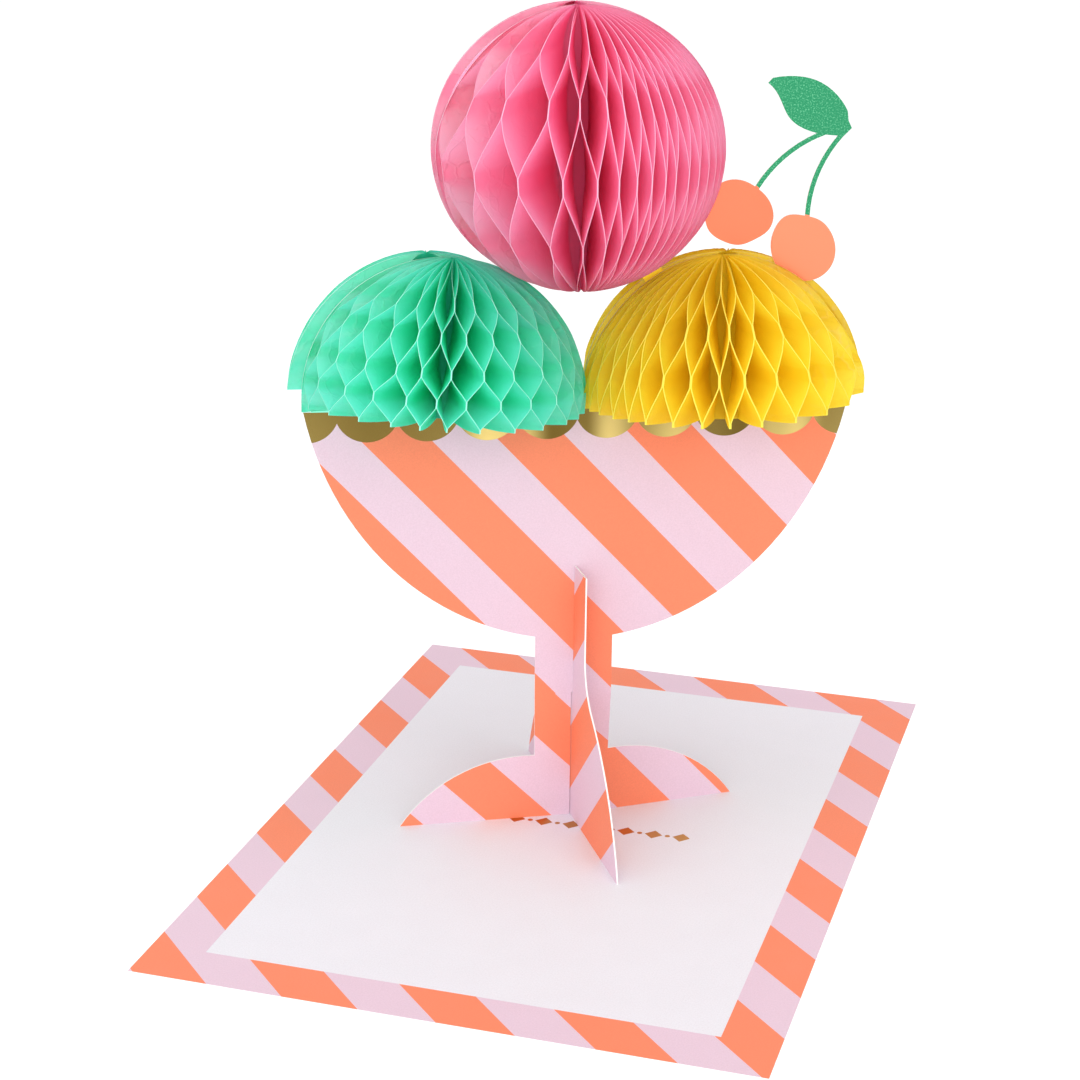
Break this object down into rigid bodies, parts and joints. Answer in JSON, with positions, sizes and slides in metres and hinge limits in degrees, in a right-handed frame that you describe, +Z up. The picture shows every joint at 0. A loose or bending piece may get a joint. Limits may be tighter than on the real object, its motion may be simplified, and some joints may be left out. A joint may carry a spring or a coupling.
{
  "type": "pop-up card",
  "caption": "Flat striped base card with a standing die-cut ice cream sundae on a slotted foot, with honeycomb tissue scoops and a cherry sprig.",
  "frame": {"origin": "centre of the base card's underside, where the card lies on a table", "axes": "+Z up, +Y along the base card's long side away from the viewer of its front, +X to that viewer's right"},
  "size_m": [0.148, 0.21, 0.208],
  "materials": {
    "printed_base": "matte printed card with a striped border",
    "printed_card": "matte card with diagonal stripes and a foil band under the rim",
    "striped_card": "matte card with diagonal stripes",
    "pink_tissue": "matte honeycomb tissue",
    "mint_tissue": "matte honeycomb tissue",
    "yellow_tissue": "matte honeycomb tissue"
  },
  "bodies": {
    "root": {"base_card": "printed_base", "sundae_card": "printed_card", "cross_foot": "striped_card", "pink_ball_front": "pink_tissue", "pink_ball_back": "pink_tissue", "mint_scoop_front": "mint_tissue", "mint_scoop_back": "mint_tissue", "yellow_scoop_front": "yellow_tissue", "yellow_scoop_back": "yellow_tissue"}
  },
  "joints": []
}
